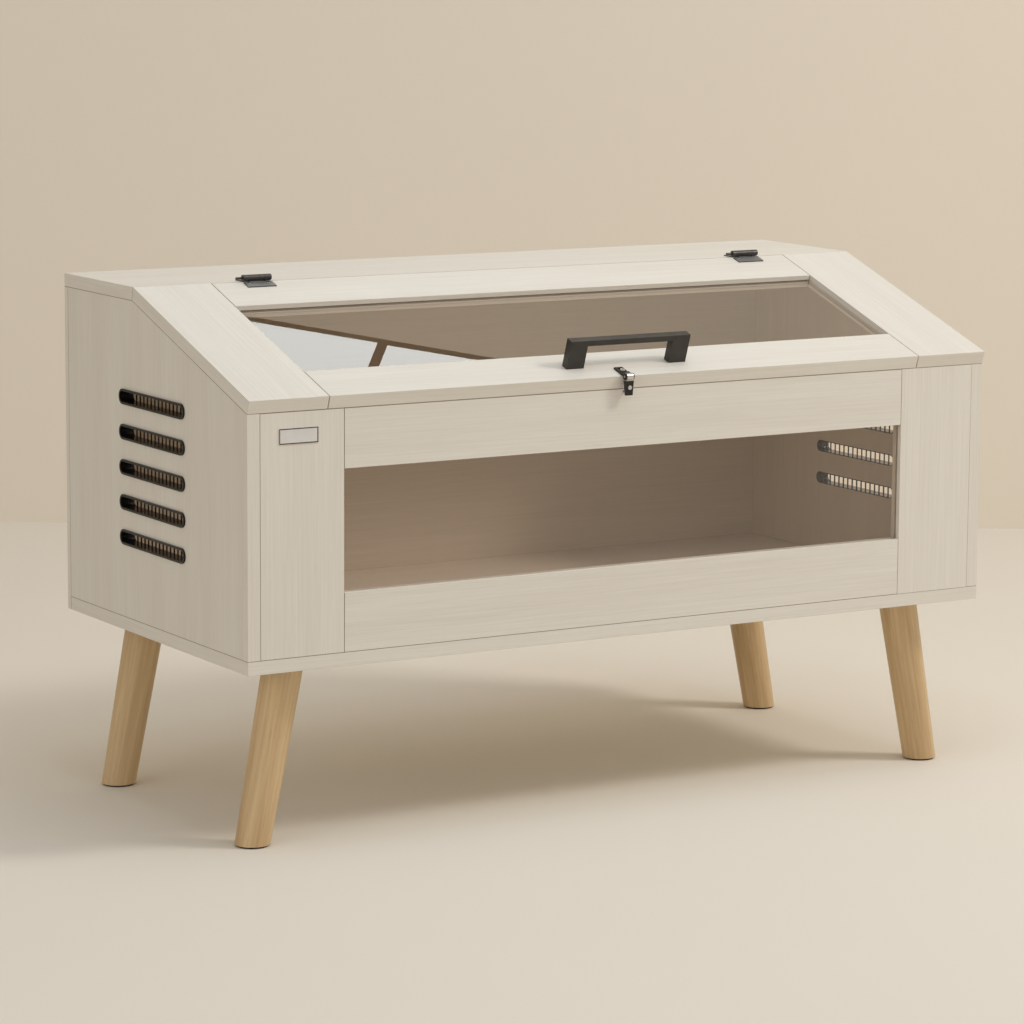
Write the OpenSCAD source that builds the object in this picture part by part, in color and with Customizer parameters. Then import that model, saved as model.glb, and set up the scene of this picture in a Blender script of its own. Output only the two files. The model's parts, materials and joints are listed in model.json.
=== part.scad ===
// Terrarium cabinet: a wooden case on splayed legs, with a glazed front, a glazed lid hinged at
// the ridge of its sloping roof, and barred vents in its ends.
// X runs along the front, +Y goes to the back and +Z is up. The floor under the legs is Z = 0,
// and the origin is at the middle of the whole outline.

/* [Cabinet] */
// Width over the end panels
body_w = 950; // [760:10:1200]
// Depth from the front boards to the outside of the back panel
body_d = 450; // [420:5:600]
// Height of the case, from the underside of the base to the top board's upper face
body_h = 383; // [350:1:480]
// Thickness of the boards
board_t = 15; // [12:0.5:18]
// Thickness of the back panel
back_t = 9; // [6:0.5:12]
// Width of each front post
post_w = 99; // [70:1:140]
// Width of the front's top and bottom rails
front_rail_w = 64; // [50:1:80]
// Gap left at the joints between the front's rails and posts
joint_gap = 0.3; // [0.1:0.05:0.3]

/* [Roof] */
// Slope of the lid and of the panels beside it, in degrees
roof_angle = 18.7; // [14:0.1:22]
// Distance from the front boards back to the ridge, where the slope starts
ridge_y = 271; // [240:1:290]
// Width of each fixed panel beside the lid
slope_panel_w = 94; // [70:1:140]

/* [Lid] */
// Width of the lid's top and bottom rails
lid_rail_w = 62; // [52:1:80]
// Gap between the lid and the boards beside and behind it
lid_gap = 1; // [0.5:0.1:2]
// Gap between the lid's underside and the front boards it closes on
lid_seat_gap = 0.3; // [0.2:0.05:0.3]

/* [Panes] */
// Thickness of the two clear panes
pane_t = 3; // [3:0.5:6]
// How far a pane reaches into its grooves
pane_bite = 8; // [5:0.5:10]
// Clearance round a pane in its grooves
pane_clear = 0.15; // [0.1:0.05:0.3]

/* [Vents] */
// Length of each vent slot
vent_l = 157.5; // [120:0.5:200]
// Height of each vent slot
vent_h = 14; // [12:0.5:20]
// Distance from one slot to the next
vent_pitch = 39; // [30:1:42]
// Height of the lowest slot's centre above the underside of the base
vent_low = 104.7; // [80:0.1:110]
// Distance from the front boards back to the slots' centre
vent_y = 225.5; // [200:0.5:260]
// Thickness of the grille's sleeve round the slot
sleeve_t = 1; // [0.8:0.1:2.5]
// Width of the lip round the sleeve, over the panel's outer face
lip_w = 1.5; // [1:0.1:3]
// How far that lip stands out of the panel
lip_out = 2; // [1:0.1:3]
// Number of bars in a grille
vent_bars = 16; // [8:1:20]
// Width of a grille's bars
bar_w = 1.4; // [1:0.1:3]
// Thickness of a grille's bars, which lie flush with the panel's inner face
bar_t = 1.3; // [1:0.1:4]
// Clearance between a grille and its slot
vent_clear = 0.1; // [0.05:0.05:0.3]

/* [Legs] */
// Height of the base's underside above the floor
leg_h = 197; // [120:1:260]
// Outward splay of the legs, in degrees
leg_splay = 11; // [0:0.5:15]
// Diameter of a leg at the top
leg_top_d = 44; // [36:1:52]
// Diameter of a leg at the foot
leg_foot_d = 38; // [28:1:44]
// Distance from the end of the base in to a leg's centre at the top
leg_inset_x = 72; // [56:1:110]
// Distance from the front and back edges in to a leg's centre
leg_inset_y = 58; // [48:1:90]
// Side of the square plate that a leg screws into
leg_plate_w = 60; // [54:1:76]
// Thickness of that plate
leg_plate_t = 3; // [2:0.5:5]
// Distance from the plate's centre to its screws
leg_screw_at = 23; // [21:0.5:25]
// Diameter of the bolt in the top of a leg
leg_bolt_d = 8; // [6:1:10]
// How far that bolt reaches down into the leg
leg_bolt_in = 26; // [15:1:40]
// Distance from the foot's edge in to the pad under it
glide_inset = 2.5; // [1:0.5:6]
// Thickness of that pad
glide_t = 2; // [1:0.5:4]

/* [Hinges] */
// Length of each hinge along the ridge
hinge_l = 35; // [30:1:60]
// Distance from the lid's end in to a hinge's centre
hinge_inset = 55; // [45:1:120]
// Width of a hinge leaf, from the ridge
leaf_w = 16.5; // [14:0.5:24]
// Thickness of a hinge leaf
leaf_t = 1.2; // [0.8:0.1:2]
// Diameter of the barrel
knuckle_d = 7.2; // [6:0.1:9]
// Gap between the barrel and the boards
knuckle_lift = 0.35; // [0.3:0.05:0.8]
// Gap between two knuckles
knuckle_gap = 0.25; // [0.2:0.05:0.5]
// Diameter of the hinge pin
hinge_pin_d = 2.7; // [2:0.1:3.5]
// How far the pin's end stands out of the barrel
hinge_pin_out = 8; // [3:0.5:12]
// Distance from the hinge's middle to each of its screws
hinge_screw_at = 11.5; // [8:0.5:14]

/* [Handle] */
// Length of the handle
handle_l = 154; // [120:1:200]
// Width of each of its feet
handle_foot_w = 22; // [14:1:30]
// Depth of the bar
handle_d = 10; // [8:0.5:14]
// Height of the handle above the lid
handle_h = 33; // [24:0.5:40]
// Thickness of the bar
handle_bar_t = 6.5; // [5:0.5:9]
// Distance from the lid's front edge up the slope to the handle's centre
handle_up = 29.5; // [26:0.5:34]

/* [Latch] */
// Place of the latch along the front, from the middle
latch_x = -14.5; // [-60:0.5:60]
// Width of the latch plate
latch_w = 10.8; // [10:0.2:16]
// Length of the plate on the lid
latch_l = 19; // [17:0.5:21]
// Thickness of the plate
latch_t = 2; // [1:0.1:2.4]
// Diameter of the bright barrel
barrel_d = 8; // [6:0.5:9]
// Distance from the lid's edge out to the latch pin
pin_out = 4.6; // [4.5:0.1:6]
// Height of the latch pin above the lid's face
pin_up = 1.4; // [1:0.1:3]
// Diameter of the latch pin
latch_pin_d = 2.4; // [2:0.1:3]
// Thickness of the hanging strap
strap_t = 4; // [3.5:0.1:5]
// Width of the strap at its tip
strap_tip_w = 8; // [7:0.5:10]
// Diameter of the rivet's head
rivet_head_d = 4.8; // [4:0.1:5.4]
// Diameter of the keeper stud on the front rail
keeper_d = 2.8; // [2:0.1:3.4]
// Gap between the end of the keeper stud and the hanging strap
keeper_gap = 0.5; // [0.3:0.1:1]

/* [Name plate] */
// Width of the plate
name_w = 46; // [30:1:60]
// Height of the plate
name_h = 16.5; // [10:0.5:24]
// Thickness of the plate
name_t = 1; // [0.5:0.1:2]
// Distance from the front's left end to the plate's centre
name_x = 60; // [50:1:70]
// Distance from the top of the front down to the plate's centre
name_down = 25.5; // [20:0.5:60]

/* [Fasteners] */
// Diameter of the wooden dowels
dowel_d = 8; // [6:1:8]
// Length of the wooden dowels
dowel_l = 30; // [26:1:32]
// How far a dowel enters the face of a board, the rest being in the edge of the other
dowel_bite = 10; // [8:0.5:10]
// Diameter of the long screws
screw_d = 5; // [4:0.5:6]
// Length of the screws up through the base
base_screw_l = 50; // [40:1:54]
// Length of the screws through the back panel
back_screw_l = 35; // [28:1:40]
// Clearance round dowels, screws, bolts and pins in their holes, on the radius
hole_clear = 0.05; // [0.02:0.01:0.1]

/* [Hidden] */

$fn = 48;
cut = 1; // how far a cutting shape runs past the face it opens
left = -1;
right = 1;
front = -1;
rear = 1;
on_board = 1; // the hinge leaf on the top board
on_lid = -1; // the hinge leaf on the lid

board_color = [0.87, 0.84, 0.78];
pane_color = [0.80, 0.88, 0.88, 0.35];
black_color = [0.10, 0.10, 0.10];
leg_color = [0.76, 0.62, 0.42];
steel_color = [0.72, 0.72, 0.72];
dowel_color = [0.80, 0.68, 0.50];

// Levels and depths of the case
half_w = body_w / 2;
side_d = body_d - back_t;
base_top = leg_h + board_t;
roof_z = leg_h + body_h;
roof_under = roof_z - board_t;
inner_x = half_w - board_t;
post_x = inner_x - post_w;

// The roof's underside meets the slope's underside a little behind the ridge
mitre = board_t * tan(roof_angle / 2);
slope_l = (ridge_y + board_t * sin(roof_angle)) / cos(roof_angle);
function slope_under(y) = roof_z - (ridge_y - y) * tan(roof_angle) - board_t / cos(roof_angle);
seat_drop = lid_seat_gap / cos(roof_angle);
front_top = slope_under(0) - seat_drop;

// The window in the front
window_low = base_top + front_rail_w;
window_high = front_top - front_rail_w;

// The lid, between the two fixed panels
lid_w = body_w - 2 * slope_panel_w - 2 * lid_gap;
lid_rail_low = -slope_l + lid_rail_w;
lid_rail_high = -lid_rail_w;

// Vents
vent_count = 5;
function vent_z(i) = leg_h + vent_low + (vent_count - i) * vent_pitch;

// Legs: the top of a leg's axis, and its foot
leg_x = half_w - leg_inset_x;
leg_y = [leg_inset_y, body_d - leg_inset_y];
leg_len = leg_h / cos(leg_splay);
leg_taper = (leg_top_d - leg_foot_d) / 2 / leg_len;
leg_over = 20; // extra length at each end of a leg before it is cut level
foot_x = leg_x + leg_h * tan(leg_splay);

// Hinges: the axis lies on the bisector over the ridge
pin_rise = knuckle_d / 2 + knuckle_lift;
pin_shift = pin_rise * tan(roof_angle / 2);
hinge_x = lid_w / 2 - hinge_inset;
leaf_clear = 0.4; // between a leaf's edge and the other leaf's knuckles
hinge_screw_d = 2.6;
hinge_screw_head_d = 4.4;
hinge_screw_l = 11;
hinge_screw_edge = 0.4; // from the leaf's inner edge to a screw's head
hinge_screw_y = knuckle_d / 2 + leaf_clear + hinge_screw_head_d / 2 + hinge_screw_edge;
// Ends of the five knuckles along the hinge, as shares of its length from the left
knuckles = [[0, 0.21], [0.21, 0.58], [0.58, 0.77], [0.77, 0.885], [0.885, 1]];

// Latch: the pin's place in the cabinet, and the pieces that hang from it
latch_pin_y = ridge_y - (slope_l + pin_out) * cos(roof_angle) - pin_up * sin(roof_angle);
latch_pin_z = roof_z - (slope_l + pin_out) * sin(roof_angle) + pin_up * cos(roof_angle);
keeper_edge = 3; // from the rail's top edge down to the stud's centre
keeper_z = front_top - keeper_edge;
keeper_in = 9; // how deep the stud is driven into the rail
pocket_clear = 0.5; // round the stud in the strap's pocket
keeper_drop = latch_pin_z - keeper_z;
pocket_end_gap = 0.4; // between the stud's end and the bottom of the pocket
latched_angle = 8; // from hanging free back to the stud, in degrees
strap_tip = 1.3; // from the pocket to the strap's tip
strap_end = keeper_drop + keeper_d / 2 + pocket_clear + strap_tip;
collar_h = 1.6; // the barrel's square foot, over the strap
collar_bite = 1; // how far that foot runs up into the barrel
collar_top = barrel_d / 2 - collar_bite;
strap_top = collar_top + collar_h;
rivet_rise = 5.4; // from the keeper up to the rivet
rivet_drop = keeper_drop - rivet_rise;
rivet_head_t = 1;
rivet_d = 2.2;
rivet_back_d = 3.4;
rivet_back_t = 0.4;
tang_side = 2.5; // strap left at each side of the tang
tang_w = latch_w - 2 * tang_side;
tang_t = 1.6;
tang_end = rivet_drop + rivet_head_d / 2;
ear_t = 1.1;
ear_gap = 0.2; // between an ear and the barrel's end
ear_d = 7.4;
arm_low = 0.5; // from the lid's face up to the arm that carries an ear
arm_high = 3.2;
arm_l = 5; // how far the arm runs back over the plate
plate_back = 0.5; // from the lid's edge back to the plate
pin_end = 0.3; // how far the pin's ends stand out of the ears
barrel_l = latch_w - 2 * ear_t - 2 * ear_gap;
latch_slot_w = 3.6;
latch_slot_l = 9;
latch_slot_end = 2.2; // from the slot to the plate's upper edge
latch_slot_y = latch_l - latch_slot_l / 2 - latch_slot_end;
latch_screw_y = latch_slot_y - (latch_slot_l - latch_slot_w) / 2; // low in the slot
latch_screw_d = 3;
latch_screw_head_d = 5.4;
latch_screw_head_t = 1.6;
latch_screw_l = 11;

// Legs' plates
leg_screw_d = 3.5;
leg_screw_head_d = 7;
leg_screw_stop = 3; // wood left over a screw's tip
leg_bolt_up = 9;

// Handle: its feet lie at its ends, each with a screw up its middle
handle_foot_x = (handle_l - handle_foot_w) / 2;
handle_screw_d = 4;
handle_screw_head_d = 8;
handle_screw_head_t = 2.4;
handle_screw_bite = 9;

// Screws through the base and the back
screw_head_d = 2 * screw_d;
base_screw_end = 50; // from the front boards, and from the back panel, to the end screws
base_side_screws = [base_screw_end, side_d / 2, side_d - base_screw_end];
base_rail_screws = [-240, 240];
back_side_screws = [60, 190, body_h - 70];
back_base_screws = [-300, 0, 300];

// Dowels
roof_flat_dowels = [ridge_y + 45, side_d - 30];
roof_slope_dowels = [70, slope_l - 70];
post_dowels = [24, 120, 210];
rail_dowels = [15, front_rail_w - pane_bite - 13];

// The outline's depth runs from the front of the latch to the back panel
reach_y = latch_pin_y - max(barrel_d / 2, strap_t / 2 + rivet_head_t);
middle_y = (reach_y + body_d) / 2;

// ---- Frames -----------------------------------------------------------------------------

// The cabinet's own frame: Y from the front boards, Z from the floor
module case() {
    translate([0, -middle_y, 0]) children();
}

// The slope: X along the ridge, Y up the slope to the ridge, Z out of the lid's face
module on_slope() {
    case() translate([0, ridge_y, roof_z]) rotate([roof_angle, 0, 0]) children();
}

// The flat strip of roof: Y back from the ridge, Z up from its face
module on_top() {
    case() translate([0, ridge_y, roof_z]) children();
}

// The latch pin's axis, from which the strap hangs
module on_latch() {
    case() translate([latch_x, latch_pin_y, latch_pin_z]) children();
}

// ---- Shapes used more than once ---------------------------------------------------------

// A box given by its two corners
module block(low, high) {
    translate(low) cube(high - low);
}

// A side view outline drawn out along X
module side_prism(points, x0, x1) {
    translate([x0, 0, 0]) rotate([90, 0, 90]) linear_extrude(x1 - x0) polygon(points);
}

// A round bar along X
module x_rod(d, x0, x1) {
    translate([x0, 0, 0]) rotate([0, 90, 0]) cylinder(d = d, h = x1 - x0);
}

// A round bar along Y
module y_rod(d, y0, y1) {
    translate([0, y1, 0]) rotate([90, 0, 0]) cylinder(d = d, h = y1 - y0);
}

// A slot outline with round ends, in the XY plane
module stadium(l, w) {
    square([l - w, w], center = true);
    for (end = [left, right]) translate([end * (l - w) / 2, 0]) circle(d = w);
}

// ---- Panes ------------------------------------------------------------------------------

// The front pane, or the room its grooves leave for it
module front_pane_shape(clear) {
    x = post_x + pane_bite + clear;
    case() block(
        [-x, (board_t - pane_t) / 2 - clear, window_low - pane_bite - clear],
        [x, (board_t + pane_t) / 2 + clear, window_high + pane_bite + clear]);
}

// The lid's pane, or the room its grooves leave for it; run is extra length past the rails' ends
module lid_pane_shape(clear, run) {
    on_slope() block(
        [-lid_w / 2 - run, lid_rail_low - pane_bite - clear, -(board_t + pane_t) / 2 - clear],
        [lid_w / 2 + run, lid_rail_high + pane_bite + clear, -(board_t - pane_t) / 2 + clear]);
}

// ---- Fasteners, each drawn with its size grown by the clearance for its hole --------------

module base_screw_shapes(clear) {
    case() {
        for (end = [left, right]) {
            for (y = base_side_screws) translate([end * (half_w - board_t / 2), y, leg_h])
                countersunk(screw_d + 2 * clear, screw_head_d + 2 * clear, base_screw_l);
            translate([end * (inner_x - post_w / 2), board_t / 2, leg_h])
                countersunk(screw_d + 2 * clear, screw_head_d + 2 * clear, base_screw_l);
        }
        for (x = base_rail_screws) translate([x, board_t / 2, leg_h])
            countersunk(screw_d + 2 * clear, screw_head_d + 2 * clear, base_screw_l);
    }
}

module back_screw_shapes(clear) {
    case() {
        for (end = [left, right], z = back_side_screws)
            translate([end * (half_w - board_t / 2), body_d, leg_h + z]) rotate([90, 0, 0])
                countersunk(screw_d + 2 * clear, screw_head_d + 2 * clear, back_screw_l);
        for (x = back_base_screws)
            translate([x, body_d, leg_h + board_t / 2]) rotate([90, 0, 0])
                countersunk(screw_d + 2 * clear, screw_head_d + 2 * clear, back_screw_l);
    }
}

// A flat-headed screw with its head's face at Z = 0, pointing up
module countersunk(d, head_d, l) {
    cylinder(d1 = head_d, d2 = d, h = (head_d - d) / 2);
    cylinder(d = d, h = l);
}

module roof_dowel_shapes(clear) {
    d = dowel_d + 2 * clear;
    x = half_w - board_t / 2;
    for (end = [left, right]) {
        case() for (y = roof_flat_dowels)
            translate([end * x, y, roof_under + dowel_bite - dowel_l])
                cylinder(d = d, h = dowel_l);
        on_slope() for (s = roof_slope_dowels)
            translate([end * x, -s, -board_t + dowel_bite - dowel_l])
                cylinder(d = d, h = dowel_l);
    }
}

module front_dowel_shapes(clear) {
    d = dowel_d + 2 * clear;
    case() for (end = [left, right]) {
        for (z = post_dowels) translate([0, board_t / 2, base_top + z])
            end_rod(end, d, inner_x + dowel_bite - dowel_l, inner_x + dowel_bite);
        for (z = rail_dowels) {
            translate([0, board_t / 2, base_top + z])
                end_rod(end, d, post_x - dowel_l / 2, post_x + dowel_l / 2);
            translate([0, board_t / 2, front_top - z])
                end_rod(end, d, post_x - dowel_l / 2, post_x + dowel_l / 2);
        }
    }
}

// A round bar along X from x0 to x1, on the end that is named
module end_rod(end, d, x0, x1) {
    if (end == right) x_rod(d, x0, x1);
    else x_rod(d, -x1, -x0);
}

// ---- Boards -----------------------------------------------------------------------------

module base_board() {
    color(board_color) difference() {
        case() block([-half_w, 0, leg_h], [half_w, side_d, base_top]);
        base_screw_shapes(hole_clear);
        back_screw_shapes(hole_clear);
        leg_screw_shapes(hole_clear);
        for (side = [left, right], y = leg_y) leg_bolt_shape(side, y, 2 * hole_clear);
    }
}

module side_panel(side) {
    outer = side * half_w;
    inner = side * inner_x;
    color(board_color) difference() {
        case() side_prism(
            [[0, base_top], [side_d, base_top], [side_d, roof_under],
             [ridge_y + mitre, roof_under], [0, slope_under(0)]],
            min(outer, inner), max(outer, inner));
        for (i = [1:vent_count]) vent_frame(side, i) translate([0, 0, -cut])
            linear_extrude(board_t + 2 * cut) stadium(vent_l, vent_h);
        base_screw_shapes(hole_clear);
        back_screw_shapes(hole_clear);
        roof_dowel_shapes(hole_clear);
        front_dowel_shapes(hole_clear);
    }
}

module left_side_panel() { side_panel(left); }
module right_side_panel() { side_panel(right); }

module back_panel() {
    color(board_color) difference() {
        case() block([-half_w, side_d, leg_h], [half_w, body_d, roof_under]);
        back_screw_shapes(hole_clear);
    }
}

module top_board() {
    color(board_color) difference() {
        case() side_prism(
            [[ridge_y, roof_z], [ridge_y + mitre, roof_under], [body_d, roof_under],
             [body_d, roof_z]],
            -half_w, half_w);
        roof_dowel_shapes(hole_clear);
        for (side = [left, right]) hinge_screw_shapes(side, on_board, hole_clear);
    }
}

module slope_panel(side) {
    outer = side * half_w;
    inner = side * (half_w - slope_panel_w);
    color(board_color) difference() {
        on_slope() side_prism(
            [[-slope_l, 0], [-slope_l, -board_t], [-mitre, -board_t], [0, 0]],
            min(outer, inner), max(outer, inner));
        roof_dowel_shapes(hole_clear);
    }
}

module left_slope_panel() { slope_panel(left); }
module right_slope_panel() { slope_panel(right); }

module front_post(side) {
    outer = side * inner_x;
    inner = side * post_x;
    color(board_color) difference() {
        case() side_prism(
            [[0, base_top], [board_t, base_top],
             [board_t, slope_under(board_t) - seat_drop], [0, front_top]],
            min(outer, inner), max(outer, inner));
        front_pane_shape(pane_clear);
        front_dowel_shapes(hole_clear);
        base_screw_shapes(hole_clear);
    }
}

module front_left_post() { front_post(left); }
module front_right_post() { front_post(right); }

module front_top_rail() {
    x = post_x - joint_gap;
    color(board_color) difference() {
        case() side_prism(
            [[0, window_high], [board_t, window_high],
             [board_t, slope_under(board_t) - seat_drop], [0, front_top]],
            -x, x);
        front_pane_shape(pane_clear);
        front_dowel_shapes(hole_clear);
        case() translate([latch_x, 0, keeper_z])
            y_rod(keeper_d + 2 * hole_clear, -cut, keeper_in);
    }
}

module front_bottom_rail() {
    x = post_x - joint_gap;
    color(board_color) difference() {
        case() block([-x, 0, base_top], [x, board_t, window_low]);
        front_pane_shape(pane_clear);
        front_dowel_shapes(hole_clear);
        base_screw_shapes(hole_clear);
    }
}

module front_pane() {
    color(pane_color) front_pane_shape(0);
}

// ---- Lid --------------------------------------------------------------------------------

module lid_top_rail() {
    color(board_color) difference() {
        on_slope() side_prism(
            [[lid_rail_high, 0], [lid_rail_high, -board_t], [-lid_gap - mitre, -board_t],
             [-lid_gap, 0]],
            -lid_w / 2, lid_w / 2);
        lid_pane_shape(pane_clear, cut);
        for (side = [left, right]) hinge_screw_shapes(side, on_lid, hole_clear);
    }
}

module lid_bottom_rail() {
    color(board_color) difference() {
        on_slope() block([-lid_w / 2, -slope_l, -board_t], [lid_w / 2, lid_rail_low, 0]);
        lid_pane_shape(pane_clear, cut);
        handle_screw_shapes(hole_clear);
        latch_screw_shape(hole_clear);
    }
}

module lid_pane() {
    color(pane_color) lid_pane_shape(0, 0);
}

// ---- Vent grilles -----------------------------------------------------------------------

// A slot's frame: X along the slot, Z outwards, with Z = 0 at the panel's inner face
module vent_frame(side, i) {
    case() translate([side * inner_x, vent_y, vent_z(i)]) rotate([90, 0, side * 90]) children();
}

// A black sleeve that lines one slot, with a lip outside and upright bars at its inner end
module vent_grille(side, i) {
    l = vent_l - 2 * vent_clear;
    h = vent_h - 2 * vent_clear;
    bar_run = l - 2 * sleeve_t;
    pitch = bar_run / (vent_bars + 1);
    color(black_color) vent_frame(side, i) {
        difference() {
            union() {
                linear_extrude(board_t + lip_out) stadium(l, h);
                translate([0, 0, board_t]) linear_extrude(lip_out)
                    stadium(vent_l + 2 * lip_w, vent_h + 2 * lip_w);
            }
            translate([0, 0, -cut]) linear_extrude(board_t + lip_out + 2 * cut)
                stadium(bar_run, h - 2 * sleeve_t);
        }
        intersection() {
            for (b = [1:vent_bars]) translate([-bar_run / 2 + b * pitch - bar_w / 2, -h / 2, 0])
                cube([bar_w, h, bar_t]);
            linear_extrude(board_t) stadium(l - sleeve_t, h - sleeve_t);
        }
    }
}

module left_vent_grille_1() { vent_grille(left, 1); }
module left_vent_grille_2() { vent_grille(left, 2); }
module left_vent_grille_3() { vent_grille(left, 3); }
module left_vent_grille_4() { vent_grille(left, 4); }
module left_vent_grille_5() { vent_grille(left, 5); }
module right_vent_grille_1() { vent_grille(right, 1); }
module right_vent_grille_2() { vent_grille(right, 2); }
module right_vent_grille_3() { vent_grille(right, 3); }
module right_vent_grille_4() { vent_grille(right, 4); }
module right_vent_grille_5() { vent_grille(right, 5); }

// ---- Legs -------------------------------------------------------------------------------

// A leg's frame: Z up along its axis, with Z = 0 where the axis meets the base
module leg_frame(side, y) {
    case() translate([side * leg_x, y, leg_h]) rotate([0, -side * leg_splay, 0]) children();
}

// The bolt up through the plate; its hole in the base has twice the clearance
module leg_bolt_shape(side, y, clear) {
    leg_frame(side, y) translate([0, 0, -leg_plate_t - leg_bolt_in])
        cylinder(d = leg_bolt_d + 2 * clear, h = leg_plate_t + leg_bolt_in + leg_bolt_up);
}

module leg(side, y) {
    color(leg_color) difference() {
        intersection() {
            leg_frame(side, y) translate([0, 0, -leg_len - leg_over])
                cylinder(
                    d1 = leg_foot_d - 2 * leg_taper * leg_over,
                    d2 = leg_top_d + 2 * leg_taper * leg_over,
                    h = leg_len + 2 * leg_over);
            case() block(
                [-body_w, y - leg_top_d, glide_t],
                [body_w, y + leg_top_d, leg_h - leg_plate_t]);
        }
        leg_bolt_shape(side, y, hole_clear);
    }
}

module leg_front_left() { leg(left, leg_y[0]); }
module leg_front_right() { leg(right, leg_y[0]); }
module leg_rear_left() { leg(left, leg_y[1]); }
module leg_rear_right() { leg(right, leg_y[1]); }

module leg_plate(side, y) {
    color(steel_color) difference() {
        case() block(
            [side * leg_x - leg_plate_w / 2, y - leg_plate_w / 2, leg_h - leg_plate_t],
            [side * leg_x + leg_plate_w / 2, y + leg_plate_w / 2, leg_h]);
        leg_bolt_shape(side, y, hole_clear);
        leg_screw_shapes(hole_clear);
    }
}

module leg_plate_front_left() { leg_plate(left, leg_y[0]); }
module leg_plate_front_right() { leg_plate(right, leg_y[0]); }
module leg_plate_rear_left() { leg_plate(left, leg_y[1]); }
module leg_plate_rear_right() { leg_plate(right, leg_y[1]); }

module hanger_bolts() {
    color(steel_color) for (side = [left, right], y = leg_y) leg_bolt_shape(side, y, 0);
}

module leg_screw_shapes(clear) {
    case() for (side = [left, right], y = leg_y, across = [left, right], along = [front, rear])
        translate([
            side * leg_x + across * leg_screw_at, y + along * leg_screw_at,
            leg_h - leg_plate_t])
            countersunk(
                leg_screw_d + 2 * clear, leg_screw_head_d + 2 * clear,
                leg_plate_t + board_t - leg_screw_stop);
}

module leg_plate_screws() {
    color(steel_color) leg_screw_shapes(0);
}

module leg_glides() {
    color(black_color) case() for (side = [left, right], y = leg_y)
        translate([side * foot_x, y, 0]) cylinder(d = leg_foot_d - 2 * glide_inset, h = glide_t);
}

// ---- Hinges -----------------------------------------------------------------------------

// The screws in one leaf, on the board or on the lid
module hinge_screw_shapes(side, way, clear) {
    for (end = [left, right]) hinge_frame(way)
        translate([side * hinge_x + end * hinge_screw_at, way * hinge_screw_y, leaf_t])
            rotate([180, 0, 0])
                countersunk(
                    hinge_screw_d + 2 * clear, hinge_screw_head_d + 2 * clear, hinge_screw_l);
}

// The flat board's frame or the slope's frame
module hinge_frame(way) {
    if (way == on_board) on_top() children();
    else on_slope() children();
}

// One leaf with its knuckles: the board's leaf has the first, third and fifth, the lid's the rest
module hinge_leaf(side, way) {
    x0 = side * hinge_x - hinge_l / 2;
    near = knuckle_d / 2 + leaf_clear;
    back = way == on_board ? 0 : lid_gap / 2;
    color(black_color) difference() {
        hinge_frame(way) {
            block(
                [x0, min(way * near, way * leaf_w), 0],
                [x0 + hinge_l, max(way * near, way * leaf_w), leaf_t]);
            for (k = [0:len(knuckles) - 1]) if ((k % 2 == 0) == (way == on_board)) {
                a = x0 + knuckles[k][0] * hinge_l + knuckle_gap / 2;
                b = x0 + knuckles[k][1] * hinge_l - knuckle_gap / 2;
                translate([0, -way * pin_shift, pin_rise]) x_rod(knuckle_d, a, b);
                block(
                    [a, min(way * back, way * (near + leaf_t)), 0],
                    [b, max(way * back, way * (near + leaf_t)), leaf_t]);
            }
        }
        hinge_frame(way) translate([0, -way * pin_shift, pin_rise])
            x_rod(hinge_pin_d + 2 * hole_clear, x0 - cut, x0 + hinge_l + cut);
        hinge_screw_shapes(side, way, hole_clear);
    }
}

// The pin, whose end stands out to the left on both hinges
module hinge_pin(side) {
    x0 = side * hinge_x - hinge_l / 2;
    color(black_color) on_top() translate([0, -pin_shift, pin_rise])
        x_rod(hinge_pin_d, x0 - hinge_pin_out, x0 + hinge_l);
}

module left_hinge_body_leaf() { hinge_leaf(left, on_board); }
module right_hinge_body_leaf() { hinge_leaf(right, on_board); }
module left_hinge_lid_leaf() { hinge_leaf(left, on_lid); }
module right_hinge_lid_leaf() { hinge_leaf(right, on_lid); }
module left_hinge_pin() { hinge_pin(left); }
module right_hinge_pin() { hinge_pin(right); }

module hinge_body_screws() {
    color(steel_color) for (side = [left, right]) hinge_screw_shapes(side, on_board, 0);
}

module hinge_lid_screws() {
    color(steel_color) for (side = [left, right]) hinge_screw_shapes(side, on_lid, 0);
}

// ---- Handle -----------------------------------------------------------------------------

// The handle's frame: its centre on the lid's face
module handle_frame() {
    on_slope() translate([0, -slope_l + handle_up, 0]) children();
}

module lid_handle() {
    color(black_color) difference() {
        handle_frame() {
            block([-handle_l / 2, -handle_d / 2, handle_h - handle_bar_t],
                [handle_l / 2, handle_d / 2, handle_h]);
            for (end = [left, right])
                translate([end * handle_foot_x, 0, handle_h / 2])
                    cube([handle_foot_w, handle_d, handle_h], center = true);
        }
        handle_screw_shapes(hole_clear);
    }
}

// Screws up through the rail into the handle's feet
module handle_screw_shapes(clear) {
    handle_frame() for (end = [left, right])
        translate([end * handle_foot_x, 0, -board_t - handle_screw_head_t]) {
            cylinder(
                d = handle_screw_d + 2 * clear,
                h = handle_screw_head_t + board_t + handle_screw_bite);
            cylinder(d = handle_screw_head_d, h = handle_screw_head_t);
        }
}

module handle_screws() {
    color(steel_color) handle_screw_shapes(0);
}

// ---- Latch ------------------------------------------------------------------------------

// The latch plate's frame: X = 0 at its middle, Y = 0 at the lid's front edge, Y up the slope
module latch_plate_frame() {
    on_slope() translate([latch_x, -slope_l, 0]) children();
}

// The screw's shank, which runs up through its head
module latch_screw_shape(clear) {
    latch_plate_frame() translate([0, latch_screw_y, latch_t - latch_screw_l])
        cylinder(d = latch_screw_d + 2 * clear, h = latch_screw_l + latch_screw_head_t);
}

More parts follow.
